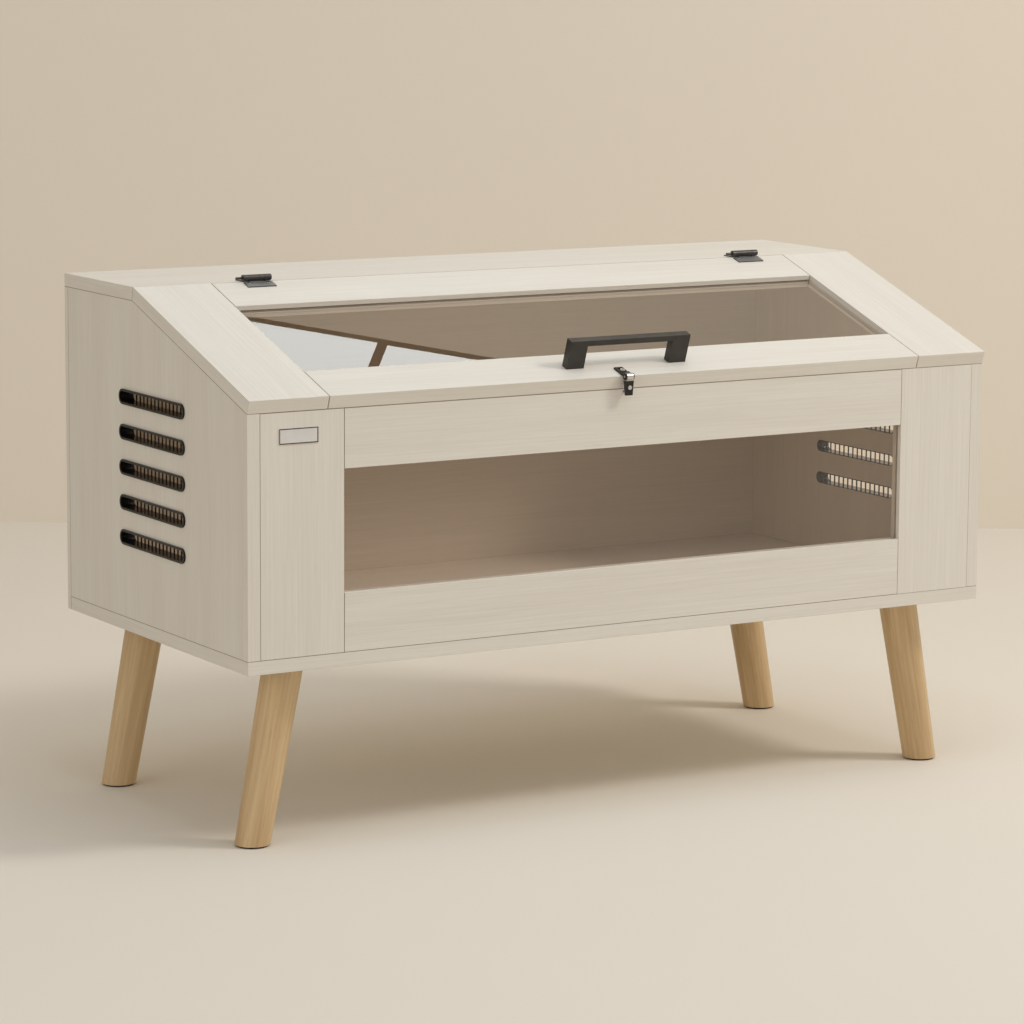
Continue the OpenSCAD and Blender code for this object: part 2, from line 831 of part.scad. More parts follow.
module latch_plate() {
    color(black_color) difference() {
        latch_plate_frame() {
            block([-latch_w / 2, plate_back, 0], [latch_w / 2, latch_l, latch_t]);
            for (end = [left, right]) {
                x0 = end * (latch_w - ear_t) / 2 - ear_t / 2;
                translate([0, -pin_out, pin_up]) x_rod(ear_d, x0, x0 + ear_t);
                block([x0, -pin_out, arm_low], [x0 + ear_t, arm_l, arm_high]);
            }
        }
        latch_plate_frame() translate([0, latch_slot_y, -cut]) linear_extrude(latch_t + 2 * cut)
            rotate(90) stadium(latch_slot_l, latch_slot_w);
        on_latch() x_rod(latch_pin_d + 2 * hole_clear, -latch_w, latch_w);
    }
}

module latch_plate_screw() {
    color(steel_color) {
        latch_screw_shape(0);
        latch_plate_frame() translate([0, latch_screw_y, latch_t])
            cylinder(d = latch_screw_head_d, h = latch_screw_head_t);
    }
}

module latch_pin() {
    color(steel_color) on_latch() x_rod(
        latch_pin_d, -latch_w / 2 - pin_end, latch_w / 2 + pin_end);
}

module rivet_shape(clear) {
    on_latch() translate([0, 0, -rivet_drop])
        y_rod(rivet_d + 2 * clear, -strap_t / 2, strap_t / 2);
}

module latch_barrel() {
    color(steel_color) difference() {
        on_latch() {
            x_rod(barrel_d, -barrel_l / 2, barrel_l / 2);
            block(
                [-barrel_l / 2, -strap_t / 2, -strap_top],
                [barrel_l / 2, strap_t / 2, -collar_top]);
            block([-tang_w / 2, -tang_t / 2, -tang_end], [tang_w / 2, tang_t / 2, 0]);
        }
        on_latch() x_rod(latch_pin_d + 2 * hole_clear, -latch_w, latch_w);
        rivet_shape(hole_clear);
    }
}

module latch_strap() {
    color(black_color) difference() {
        on_latch() translate([0, strap_t / 2, 0]) rotate([90, 0, 0]) linear_extrude(strap_t)
            polygon([
                [-latch_w / 2, -strap_top], [latch_w / 2, -strap_top],
                [strap_tip_w / 2, -strap_end], [-strap_tip_w / 2, -strap_end]]);
        on_latch() block(
            [-tang_w / 2 - hole_clear, -tang_t / 2 - hole_clear, -tang_end - hole_clear],
            [tang_w / 2 + hole_clear, tang_t / 2 + hole_clear, 0]);
        rivet_shape(hole_clear);
        on_latch() rotate([-latched_angle, 0, 0]) translate([0, 0, -keeper_drop])
            y_rod(
                keeper_d + 2 * pocket_clear,
                strap_t / 2 + keeper_gap - pocket_end_gap, 2 * strap_t);
    }
}

module latch_rivet() {
    color(steel_color) {
        rivet_shape(0);
        on_latch() translate([0, 0, -rivet_drop]) {
            y_rod(rivet_head_d, -strap_t / 2 - rivet_head_t, -strap_t / 2);
            y_rod(rivet_back_d, strap_t / 2, strap_t / 2 + rivet_back_t);
        }
    }
}

module latch_keeper() {
    color(steel_color) case() translate([latch_x, 0, keeper_z])
        y_rod(keeper_d, latch_pin_y + strap_t / 2 + keeper_gap, keeper_in);
}

// ---- Name plate and hidden fasteners ----------------------------------------------------

module name_plate() {
    color(steel_color) case() translate([-half_w + name_x, -name_t / 2, front_top - name_down])
        cube([name_w, name_t, name_h], center = true);
}

module base_screws() {
    color(steel_color) base_screw_shapes(0);
}

module back_screws() {
    color(steel_color) back_screw_shapes(0);
}

module roof_dowels() {
    color(dowel_color) roof_dowel_shapes(0);
}

module front_dowels() {
    color(dowel_color) front_dowel_shapes(0);
}

// ---- The assembly -----------------------------------------------------------------------

base_board();
left_side_panel();
right_side_panel();
back_panel();
top_board();
left_slope_panel();
right_slope_panel();
front_left_post();
front_right_post();
front_top_rail();
front_bottom_rail();
front_pane();
left_vent_grille_1();
left_vent_grille_2();
left_vent_grille_3();
left_vent_grille_4();
left_vent_grille_5();
right_vent_grille_1();
right_vent_grille_2();
right_vent_grille_3();
right_vent_grille_4();
right_vent_grille_5();
leg_front_left();
leg_front_right();
leg_rear_left();
leg_rear_right();
leg_plate_front_left();
leg_plate_front_right();
leg_plate_rear_left();
leg_plate_rear_right();
hanger_bolts();
leg_plate_screws();
leg_glides();
left_hinge_body_leaf();
left_hinge_pin();
right_hinge_body_leaf();
right_hinge_pin();
hinge_body_screws();
name_plate();
latch_keeper();
base_screws();
back_screws();
roof_dowels();
front_dowels();
lid_top_rail();
lid_bottom_rail();
lid_pane();
left_hinge_lid_leaf();
right_hinge_lid_leaf();
hinge_lid_screws();
lid_handle();
handle_screws();
latch_plate();
latch_plate_screw();
latch_pin();
latch_barrel();
latch_strap();
latch_rivet();
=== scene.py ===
# %% [markdown]
# # Dressing a terrarium cabinet
# This is a low wooden terrarium cabinet. It stands on four splayed legs, has a fixed window in
# front, a glazed lid hinged along its ridge, and barred vents in its ends.
# The CAD model already fixes every size, so nothing is measured by eye here. Each step takes one
# family of pieces, gives it the edges the real one has, and then gives it its finish.

import json
import math

import bmesh
import bpy
from mathutils import Matrix, Vector
from mathutils.bvhtree import BVHTree


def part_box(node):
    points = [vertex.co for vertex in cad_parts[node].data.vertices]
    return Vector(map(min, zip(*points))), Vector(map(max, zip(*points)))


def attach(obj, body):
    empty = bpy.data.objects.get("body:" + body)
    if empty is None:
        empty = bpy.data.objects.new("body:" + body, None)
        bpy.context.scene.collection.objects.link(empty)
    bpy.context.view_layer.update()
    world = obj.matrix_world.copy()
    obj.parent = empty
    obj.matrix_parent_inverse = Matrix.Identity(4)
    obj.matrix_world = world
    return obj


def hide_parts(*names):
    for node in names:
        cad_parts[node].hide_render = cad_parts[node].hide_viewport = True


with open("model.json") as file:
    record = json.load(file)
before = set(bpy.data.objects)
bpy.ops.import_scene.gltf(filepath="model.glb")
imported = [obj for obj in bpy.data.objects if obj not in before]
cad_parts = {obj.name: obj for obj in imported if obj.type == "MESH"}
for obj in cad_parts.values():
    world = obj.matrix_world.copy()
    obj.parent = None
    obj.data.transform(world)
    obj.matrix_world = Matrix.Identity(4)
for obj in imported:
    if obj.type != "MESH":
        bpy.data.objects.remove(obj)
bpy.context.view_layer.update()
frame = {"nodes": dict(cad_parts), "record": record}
MM = 0.001

# %% [markdown]
# ## Where the picture is taken from
# A product picture like this one is taken from far off with a long lens, which keeps upright lines
# nearly parallel. A camera could be aimed with a constraint, but three angles and a place say the
# same thing exactly. The lens comes from the focal length in pixels, for a picture 1024 wide.

# %% The camera
PICTURE_WIDTH = 1024
FOCAL_PIXELS = 3919.46
SENSOR_WIDTH = 36.0
CAMERA_PLACE = Vector((-2.2962, -3.7975, 1.0086))
CAMERA_AZIMUTH = math.radians(-30.88)
CAMERA_ELEVATION = math.radians(9.02)
CAMERA_ROLL = math.radians(0.38)


def camera_axes(azimuth, elevation, roll):
    """The camera's right, up and backward directions."""
    level = math.cos(elevation)
    back = Vector((math.sin(azimuth) * level, -math.cos(azimuth) * level, math.sin(elevation)))
    right = (-back).cross(Vector((0, 0, 1))).normalized()
    turn = Matrix.Rotation(roll, 3, back)
    return turn @ right, turn @ right.cross(-back), back


right, up, back = camera_axes(CAMERA_AZIMUTH, CAMERA_ELEVATION, CAMERA_ROLL)
lens = bpy.data.cameras.new("picture_camera")
lens.sensor_width = SENSOR_WIDTH
lens.lens = SENSOR_WIDTH * FOCAL_PIXELS / PICTURE_WIDTH
camera = bpy.data.objects.new("picture_camera", lens)
turned = Matrix((right, up, back)).transposed().to_4x4()
camera.matrix_world = Matrix.Translation(CAMERA_PLACE) @ turned
bpy.context.scene.collection.objects.link(camera)
bpy.context.scene.camera = camera
print(f"lens {lens.lens:.1f} mm, {CAMERA_PLACE.length:.2f} m from the cabinet's foot")

# %% [markdown]
# ## Tools for finishes
# Nearly every finish is one Principled shader with patterns in front of it. The same few moves
# come back each time: add a node, join two sockets, stretch a noise, fade between two colours.
# Written once, they leave each finish short enough to read as a recipe.
# Colours are given as a paint chart gives them, 0 to 255, and turned into light.

# %% Colours and nodes
BYTE = 255
KNEE = 0.04045  # the chart's values rise straight up to here, and along a power beyond
STRAIGHT = 12.92
LIFT = 0.055
POWER = 2.4


def chart(red, green, blue):
    """A colour from a paint chart as the amounts of light that Blender works with."""
    shares = [value / BYTE for value in (red, green, blue)]
    curve = [((s + LIFT) / (1 + LIFT)) ** POWER for s in shares]
    light = [s / STRAIGHT if s <= KNEE else c for s, c in zip(shares, curve)]
    return (*light, 1.0)


def new_finish(name, colour, **sockets):
    """A material and its shader. Sockets are named with underscores for spaces."""
    finish = bpy.data.materials.new(name)
    finish.use_nodes = True
    shader = finish.node_tree.nodes["Principled BSDF"]
    shader.inputs["Base Color"].default_value = colour
    for socket, value in sockets.items():
        shader.inputs[socket.replace("_", " ")].default_value = value
    return finish, shader


def add(finish, kind, **settings):
    """A new node in a finish."""
    node = finish.node_tree.nodes.new("ShaderNode" + kind)
    for key, value in settings.items():
        setattr(node, key, value)
    return node


def join(finish, start, end):
    """Links an output to an input."""
    finish.node_tree.links.new(start, end)


def own_place(finish):
    """Where a point lies on its piece, in metres."""
    return add(finish, "TexCoord").outputs["Object"]


def own_layout(finish, name):
    """A point's place in a UV map that the piece carries."""
    return add(finish, "UVMap", uv_map=name).outputs["UV"]


def own_record(finish, name, output):
    """What a piece's attribute holds at a point."""
    return add(finish, "Attribute", attribute_name=name).outputs[output]


def stretched_noise(finish, place, per_metre, detail=3.0, roughness=0.5, shift=0.0):
    """Noise from 0 to 1, with so many waves to the metre along each of three directions."""
    layout = add(finish, "Mapping")
    layout.inputs["Scale"].default_value = per_metre
    layout.inputs["Location"].default_value = (shift, shift, shift)
    noise = add(finish, "TexNoise")
    noise.inputs["Scale"].default_value = 1.0
    noise.inputs["Detail"].default_value = detail
    noise.inputs["Roughness"].default_value = roughness
    join(finish, place, layout.inputs["Vector"])
    join(finish, layout.outputs["Vector"], noise.inputs["Vector"])
    return noise.outputs["Fac"]


def spread(finish, value, low, high, to_low=0.0, to_high=1.0):
    """A value between low and high, spread out between two others and held at their ends."""
    change = add(finish, "MapRange", clamp=True)
    for socket, number in zip(change.inputs[1:5], (low, high, to_low, to_high)):
        socket.default_value = number
    join(finish, value, change.inputs["Value"])
    return change.outputs["Result"]


def sums(finish, operation, first, second):
    """Two values put together, either of them a socket or a number."""
    node = add(finish, "Math", operation=operation)
    for socket, value in zip(node.inputs, (first, second)):
        if isinstance(value, float):
            socket.default_value = value
        else:
            join(finish, value, socket)
    return node.outputs["Value"]


def fade(finish, share, first, second):
    """A colour that goes from first to second as share goes from 0 to 1."""
    mix = add(finish, "Mix", data_type="RGBA")
    inputs = {s.name: s for s in mix.inputs if s.type == "RGBA"}
    share_socket = [s for s in mix.inputs if s.name == "Factor" and s.type == "VALUE"][0]
    join(finish, share, share_socket)
    for socket, colour in zip((inputs["A"], inputs["B"]), (first, second)):
        if isinstance(colour, tuple):
            socket.default_value = colour
        else:
            join(finish, colour, socket)
    return [s for s in mix.outputs if s.type == "RGBA"][0]


def raise_surface(finish, shader, height, depth):
    """Lets a pattern stand up from the surface by depth metres."""
    bump = add(finish, "Bump")
    bump.inputs["Distance"].default_value = depth
    join(finish, height, bump.inputs["Height"])
    join(finish, bump.outputs["Normal"], shader.inputs["Normal"])


def choose_between(finish, share, first, second, target):
    """Sends a target the first shader where share is 0, and the second where it is 1."""
    mix = add(finish, "MixShader")
    join(finish, share, mix.inputs["Fac"])
    join(finish, first, mix.inputs[1])
    join(finish, second, mix.inputs[2])
    join(finish, mix.outputs["Shader"], target)


print("paint-chart white is", chart(BYTE, BYTE, BYTE))

# %% [markdown]
# ## The room
# The cabinet stands on a plain pale floor before a plain warm wall. Both are large grids of one
# face, which is all that a flat thing needs. Each is clear from behind, so that the cabinet can
# also be seen from the back and from below.

# %% Floor and wall
FLOOR_HALF = 12.0
WALL_AWAY = 1.78
WALL_HALF = 9.0
FLOOR_COLOUR = chart(230, 221, 206)
WALL_COLOUR = chart(232, 220, 201)
PAINT_CLOUDS = (1.5, 1.5, 1.5)  # to the metre
PAINT_DARKEST = 0.97


def build(shape, name, finishes):
    """Puts a shape into the scene as an object with its finishes."""
    mesh = bpy.data.meshes.new(name)
    shape.to_mesh(mesh)
    shape.free()
    for finish in finishes:
        mesh.materials.append(finish)
    thing = bpy.data.objects.new(name, mesh)
    bpy.context.scene.collection.objects.link(thing)
    return thing


def flat_stage(name, half, place, colour):
    """A square of the room, half a side either way, painted on its front only."""
    finish, shader = new_finish(name + "_paint", colour, Roughness=0.8, Specular_IOR_Level=0.2)
    cloud = stretched_noise(finish, own_place(finish), PAINT_CLOUDS)
    darker = (*(PAINT_DARKEST * value for value in colour[:3]), 1.0)
    join(finish, fade(finish, cloud, darker, colour), shader.inputs["Base Color"])
    behind = add(finish, "NewGeometry").outputs["Backfacing"]
    paint = shader.outputs["BSDF"]
    clear = add(finish, "BsdfTransparent").outputs["BSDF"]
    surface = finish.node_tree.nodes["Material Output"].inputs["Surface"]
    choose_between(finish, behind, paint, clear, surface)
    shape = bmesh.new()
    bmesh.ops.create_grid(shape, x_segments=1, y_segments=1, size=half, matrix=place)
    stage = build(shape, name, [finish])


flat_stage("floor", FLOOR_HALF, Matrix.Identity(4), FLOOR_COLOUR)
wall_turn = Matrix.Rotation(CAMERA_AZIMUTH, 4, "Z") @ Matrix.Rotation(math.pi / 2, 4, "X")
wall_place = Matrix.Rotation(CAMERA_AZIMUTH, 4, "Z") @ Vector((0, WALL_AWAY, WALL_HALF))
flat_stage("wall", WALL_HALF, Matrix.Translation(wall_place) @ wall_turn, WALL_COLOUR)
print("wall stands", WALL_AWAY, "m behind the cabinet")

# %% [markdown]
# ## Light
# The real picture has one fairly small lamp high up at the front right, which throws the latch's
# shadow to its lower left, and the case's shadow on the floor to the left and back. A broad lamp
# overhead softens that, a weak one lights the end with the vents, and an even sky fills the rest.
# What the camera or a shiny surface sees of that sky is a plain pale room, so that glass and metal
# mirror a room and not a white void.

# %% Lamps and sky
SKY_LIGHT = (1.0, 1.0, 1.0, 1.0)
SKY_STRENGTH = 0.52
SEEN_ROOM = chart(214, 199, 182)
LAMPS = {
    # name: (place, aim, side in metres, watts, colour)
    "key_lamp": ((2.5, -2.0, 3.15), (0.0, 0.0, 0.3), 0.9, 61.0, (1.0, 0.97, 0.93)),
    "overhead_lamp": ((0.1, -0.9, 3.1), (0.0, 0.0, 0.3), 2.0, 22.0, (0.85, 1.0, 1.22)),
    "end_lamp": ((-3.4, -1.0, 1.6), (0.0, 0.0, 0.4), 1.6, 8.0, (1.0, 0.98, 0.95)),
}


def soft_lamp(name, place, aim, side, watts, colour):
    """Hangs a square lamp at a place and turns it to what it lights."""
    lamp = bpy.data.lights.new(name, "AREA")
    lamp.shape = "SQUARE"
    lamp.size = side
    lamp.energy = watts
    lamp.color = colour
    stand = bpy.data.objects.new(name, lamp)
    stand.location = place
    stand.rotation_euler = (Vector(aim) - Vector(place)).to_track_quat("-Z", "Y").to_euler()
    bpy.context.scene.collection.objects.link(stand)


for lamp_name, lamp_facts in LAMPS.items():
    soft_lamp(lamp_name, *lamp_facts)

sky = bpy.data.worlds.new("studio_sky")
bpy.context.scene.world = sky
sky.use_nodes = True
light_sky = sky.node_tree.nodes["Background"]
light_sky.inputs["Color"].default_value = SKY_LIGHT
light_sky.inputs["Strength"].default_value = SKY_STRENGTH
seen_sky = add(sky, "Background")
seen_sky.inputs["Color"].default_value = SEEN_ROOM
path = add(sky, "LightPath")
seen = sums(sky, "MAXIMUM", path.outputs["Is Camera Ray"], path.outputs["Is Glossy Ray"])
seen = sums(sky, "MAXIMUM", seen, path.outputs["Is Transmission Ray"])
choose_between(
    sky,
    seen,
    light_sky.outputs["Background"],
    seen_sky.outputs["Background"],
    sky.node_tree.nodes["World Output"].inputs["Surface"],
)
bpy.context.scene.view_settings.view_transform = "Standard"
print("lamps:", ", ".join(LAMPS))

# %% [markdown]
# ### Something for the lid's pane to mirror
# Clear sheet shows best by what it mirrors. The pane slopes, so from the front it mirrors what
# hangs high up behind the cabinet: here a bright panel in a dark frame, split by a bar. Only
# mirrors see it, so it is hidden from the camera and lights nothing. Two cuts across a grid give
# its outline and its two halves, and insetting those makes the frame and the bar.

# %% A bright panel that only mirrors see
PANEL_PLACE = Vector((0.3706, 0.8330, 1.4569))
PANEL_ACROSS = Vector((-0.8015, 0.5980, 0.0))
PANEL_AWAY = Vector((0.4670, 0.6259, 0.6246))
PANEL_HALF = 0.3
PANEL_CUTS = [
    # a point on the cut, the way out of it, and whether what lies that way is cut off
    ((0.1, -0.0115, 0.0), (0.2, -0.98, 0.0), True),
    ((-0.0808, 0.0, 0.0), (1.0, 0.0, 0.0), False),
]
PANEL_FRAME = 0.0105
PANEL_GLOW = (0.92, 1.0, 1.02, 1.0)
PANEL_STRENGTH = 2.4
UNLIT = (0.0, 0.0, 0.0, 1.0)


def bright_panel():
    """Cuts the panel out of a grid, frames its halves and hangs it up for mirrors only."""
    glow, shader = new_finish("panel_glow", UNLIT, Emission_Color=PANEL_GLOW)
    shader.inputs["Emission Strength"].default_value = PANEL_STRENGTH
    dark = new_finish("panel_frame", UNLIT, Specular_IOR_Level=0.0)[0]
    shape = bmesh.new()
    bmesh.ops.create_grid(shape, x_segments=1, y_segments=1, size=PANEL_HALF)
    for point, way, cut_off in PANEL_CUTS:
        sheet = shape.verts[:] + shape.edges[:] + shape.faces[:]
        bmesh.ops.bisect_plane(
            shape, geom=sheet, plane_co=point, plane_no=way, clear_outer=cut_off
        )
    halves = shape.faces[:]
    bmesh.ops.inset_individual(shape, faces=halves, thickness=PANEL_FRAME)
    for face in set(shape.faces) - set(halves):
        face.material_index = 1
    turn = Matrix((PANEL_ACROSS, PANEL_AWAY.cross(PANEL_ACROSS), PANEL_AWAY)).transposed()
    hang = Matrix.Translation(PANEL_PLACE) @ turn.to_4x4()
    bmesh.ops.transform(shape, matrix=hang, verts=shape.verts)
    panel = build(shape, "bright_panel", [glow, dark])
    for ray in ("camera", "diffuse", "shadow", "transmission"):
        setattr(panel, "visible_" + ray, False)
    return panel


panel = bright_panel()
print(panel.name, len(panel.data.polygons), "faces,", PANEL_PLACE.z, "m up")

# %% [markdown]
# ## Tools for shapes
# A CAD solid has knife-sharp edges, and real boards and pressings don't. Light catches on an
# eased edge, and two eased edges side by side make the thin dark line of a joint.
# So each visible solid is copied, its loose triangles are joined, flat parts are cleared of the
# lines across them, and the sharp edges are bevelled. A modifier could bevel as well, but the
# operator also tells which faces are new, and those are where a finish wears.

# %% Copying, easing and placing
WELD = 0.002 * MM
FLAT = math.radians(0.5)
SHARP = math.radians(28)
SMOOTH_UP_TO = math.radians(50)
SQUARE_ON = 0.999  # the least cosine between a face's normal and the way that it faces


def copy_of(node):
    """A CAD solid's shape as one joined mesh, ready to work on."""
    shape = bmesh.new()
    shape.from_mesh(frame["nodes"][node].data)
    bmesh.ops.remove_doubles(shape, verts=shape.verts, dist=WELD)
    bmesh.ops.dissolve_limit(shape, angle_limit=FLAT, verts=shape.verts, edges=shape.edges)
    return shape


def corners(shape, shortest=0.0):
    """The sharp edges of a shape that are at least so long."""
    found = [e for e in shape.edges if e.is_manifold and e.calc_face_angle() > SHARP]
    return [e for e in found if e.calc_length() >= shortest]


def ease(shape, edges, width, segments=2):
    """Rounds edges, and gives the new faces."""
    made = bmesh.ops.bevel(
        shape,
        geom=edges,
        offset=width,
        offset_type="OFFSET",
        affect="EDGES",
        segments=segments,
        profile=0.5,
        material=-1,
        clamp_overlap=True,
    )
    return made["faces"]


def put_in_place(shape, name, body, finishes, nodes):
    """Makes a finished piece of a shape, standing for its CAD nodes and moving with its body."""
    for face in shape.faces:
        face.smooth = True
    for edge in shape.edges:
        edge.smooth = edge.is_manifold and edge.calc_face_angle() < SMOOTH_UP_TO
    piece = build(shape, name, finishes)
    piece.modifiers.new("even_shading", "WEIGHTED_NORMAL").keep_sharp = True
    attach(piece, body)
    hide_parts(*nodes)
    return piece


print(len(frame["nodes"]), "CAD nodes to dress")

# %% [markdown]
# ## White-washed laminate
# The boards are chipboard under a printed film: pale, warm, with fine streaks along the grain,
# broader clouds of tone, and a few short pores. The pattern could be a solid block of wood, but
# film is flat and is laid on each face and each edge band along its length. So every board
# carries a layout map called grain, in metres, with the grain along its first direction.
# Three attributes say where the film differs. Edges that get handled lose a little of the white,
# which edge_wear marks. Where two boards meet, the film is darkened as painted shade in the joint,
# which in_a_joint marks. The sides turned to the inside have a browner film, painted darker as
# well as painted shade inside the box, and indoors marks those.

# %% The laminate's finish
STREAKS = (7.0, 420.0, 1.0)
CLOUDS = (2.2, 38.0, 1.0)
PORES = (38.0, 1500.0, 1.0)
FINE_LINES = (14.0, 1100.0, 1.0)
LAMINATE_PALE = chart(229, 223, 211)
LAMINATE_DEEP = chart(217, 208, 193)
LAMINATE_PORE = chart(199, 187, 168)
LAMINATE_WORN = chart(205, 194, 175)
# LAMINATE_JOINT is painted shade in the joints between boards
LAMINATE_JOINT = chart(150, 136, 115)
LAMINATE_RELIEF = 0.035 * MM
STREAK_SHARE = 0.5  # of the tone, which clouds and fine lines make up to 1
CLOUD_SHARE = 0.3
FINE_SHARE = 0.2
# The inside faces' film is browner, and painted darker as well for the shade inside the box.
INDOORS_PALE = chart(220, 206, 187)
INDOORS_DEEP = chart(208, 193, 172)


def white_washed_laminate():
    """The one finish of all boards."""
    finish, shader = new_finish("white_washed_laminate", LAMINATE_PALE)
    layout = own_layout(finish, "grain")
    streaks = stretched_noise(finish, layout, STREAKS, detail=4.0, roughness=0.62)
    clouds = stretched_noise(finish, layout, CLOUDS, detail=2.0, shift=3.7)
    fine = stretched_noise(finish, layout, FINE_LINES, detail=2.0, shift=9.1)
    pores = stretched_noise(finish, layout, PORES, detail=2.0, roughness=0.7, shift=5.3)
    tone = sums(finish, "MULTIPLY", streaks, STREAK_SHARE)
    tone = sums(finish, "ADD", tone, sums(finish, "MULTIPLY", clouds, CLOUD_SHARE))
    tone = sums(finish, "ADD", tone, sums(finish, "MULTIPLY", fine, FINE_SHARE))
    tone = spread(finish, tone, 0.34, 0.68)
    pore_marks = spread(finish, pores, 0.66, 0.76, 0.0, 0.5)
    worn = own_record(finish, "edge_wear", "Fac")
    worn = sums(finish, "MULTIPLY", worn, spread(finish, clouds, 0.35, 0.7, 0.25, 0.8))
    joint = own_record(finish, "in_a_joint", "Fac")
    colour = fade(finish, tone, LAMINATE_DEEP, LAMINATE_PALE)
    browner = fade(finish, tone, INDOORS_DEEP, INDOORS_PALE)
    # inside faces: a browner film, darker as painted shade
    colour = fade(finish, own_record(finish, "indoors", "Fac"), colour, browner)
    colour = fade(finish, pore_marks, colour, LAMINATE_PORE)
    colour = fade(finish, worn, colour, LAMINATE_WORN)
    # the joints get their painted shade
    colour = fade(finish, joint, colour, LAMINATE_JOINT)
    join(finish, colour, shader.inputs["Base Color"])
    join(finish, spread(finish, streaks, 0.3, 0.7, 0.56, 0.49), shader.inputs["Roughness"])
    relief = sums(finish, "SUBTRACT", tone, pore_marks)
    raise_surface(finish, shader, relief, LAMINATE_RELIEF)
    return finish


laminate = white_washed_laminate()
print("made", laminate.name)

# %% [markdown]
# ## The boards
# Sawn boards with banded edges, cut from one sheet. Each is named with the way its grain runs and
# the way through its thickness, and the third direction follows. A long edge's band has its
# grain along the board, and an end's band runs across it.
# The bands are rubbed down by 0.4 mm, which is the line at each joint.

# %% Boards in their laminate
EASED = 0.4 * MM
JOINT_REACH = 0.9 * MM  # how near the next board lies where two meet
SHORTEST_BOARD_EDGE = 0.8 * MM
BOARD_STEP = 0.731  # from one board's place in the pattern to the next one's
INSIDE_MIDDLE = Vector((0.0, 0.0, 0.38))
SLOPE = math.radians(18.7)
X = Vector((1, 0, 0))
Y = Vector((0, 1, 0))
Z = Vector((0, 0, 1))
UP_SLOPE = Vector((0, math.cos(SLOPE), math.sin(SLOPE)))
OFF_SLOPE = Vector((0, -math.sin(SLOPE), math.cos(SLOPE)))
BOARDS = {
    # node: (body, grain direction, direction through the board)
    "base_board": ("cabinet", X, Z),
    "left_side_panel": ("cabinet", Z, X),
    "right_side_panel": ("cabinet", Z, X),
    "back_panel": ("cabinet", X, Y),
    "top_board": ("cabinet", X, Z),
    "left_slope_panel": ("cabinet", UP_SLOPE, OFF_SLOPE),
    "right_slope_panel": ("cabinet", UP_SLOPE, OFF_SLOPE),
    "front_left_post": ("cabinet", Z, Y),
    "front_right_post": ("cabinet", Z, Y),
    "front_top_rail": ("cabinet", X, Y),
    "front_bottom_rail": ("cabinet", X, Y),
    "lid_top_rail": ("lid", X, OFF_SLOPE),
    "lid_bottom_rail": ("lid", X, OFF_SLOPE),
}


def lay_film(shape, along, through, shift):
    """Writes the grain map: along the board on its faces and long edges, across on its ends."""
    across = through.cross(along)
    grain = shape.loops.layers.uv.new("grain")
    for face in shape.faces:
        facing = [abs(face.normal.dot(way)) for way in (through, across, along)]
        side = facing.index(max(facing))
        length_way = across if side == 2 else along
        width_way = across if side == 0 else through
        for corner in face.loops:
            place = corner.vert.co
            corner[grain].uv = (
                place.dot(length_way) + shift,
                place.dot(width_way) + shift * (side + 1),
            )


def mark(shape, name, faces):
    """Marks faces with an attribute of 1, where all others have 0."""
    layer = shape.loops.layers.float.new(name)
    for face in faces:
        for corner in face.loops:
            corner[layer] = 1.0


def search_tree(node):
    """A CAD node's faces in a form that finds the nearest one fast."""
    mesh = frame["nodes"][node].data
    return BVHTree.FromPolygons([v.co for v in mesh.vertices], [p.vertices for p in mesh.polygons])


BOARD_TREES = {node: search_tree(node) for node in BOARDS}


def meets_a_board(face, node):
    """Whether another board lies against a face of this one."""
    others = [tree for name, tree in BOARD_TREES.items() if name != node]
    middle = face.calc_center_median()
    return any(tree.find_nearest(middle, JOINT_REACH)[0] is not None for tree in others)


def looks_in(face, through):
    """Whether a face of a board is the one turned to the middle of the cabinet."""
    flat = abs(face.normal.dot(through)) > SQUARE_ON
    return flat and face.normal.dot(INSIDE_MIDDLE - face.calc_center_median()) > 0


def make_board(node, number):
    """Eases a board's edges, marks its joints, worn edges and inner side, and lays its film."""
    body, along, through = BOARDS[node]
    shape = copy_of(node)
    rounded = ease(shape, corners(shape, SHORTEST_BOARD_EDGE), EASED, segments=3)
    joints = [face for face in rounded if meets_a_board(face, node)]
    indoors = [face for face in shape.faces if body == "cabinet" and looks_in(face, through)]
    mark(shape, "in_a_joint", joints)
    mark(shape, "edge_wear", set(rounded) - set(joints))
    mark(shape, "indoors", indoors)
    lay_film(shape, along, through, number * BOARD_STEP)
    name = "laminated_" + node
    return put_in_place(shape, name, body, [laminate], [node])


for number, node in enumerate(BOARDS):
    board = make_board(node, number)
    print(board.name, len(board.data.polygons), "faces")

# %% [markdown]
# ## Turned legs
# Each leg is a turned cone of pale hardwood under a satin varnish. Turned wood is cut from the
# solid, so its figure is a block of wood seen through a round surface: long streaks down the
# leg, close at its sides. A flat map would wrap the same stripe all round, so the legs carry
# their own place in the block, as an attribute called in_the_block, and one finish serves all.

# %% The legs' finish
LEG_PALE = chart(217, 188, 142)
LEG_DEEP = chart(189, 155, 110)
LEG_LINE = chart(164, 129, 88)
LEG_FIGURE = (60.0, 60.0, 3.0)
LEG_RINGS = (330.0, 330.0, 9.0)
LEG_PORES = (1500.0, 1500.0, 40.0)
LEG_RELIEF = 0.05 * MM
FIGURE_SHARE = 0.6  # of the tone, which rings make up to 1
RING_SHARE = 0.4


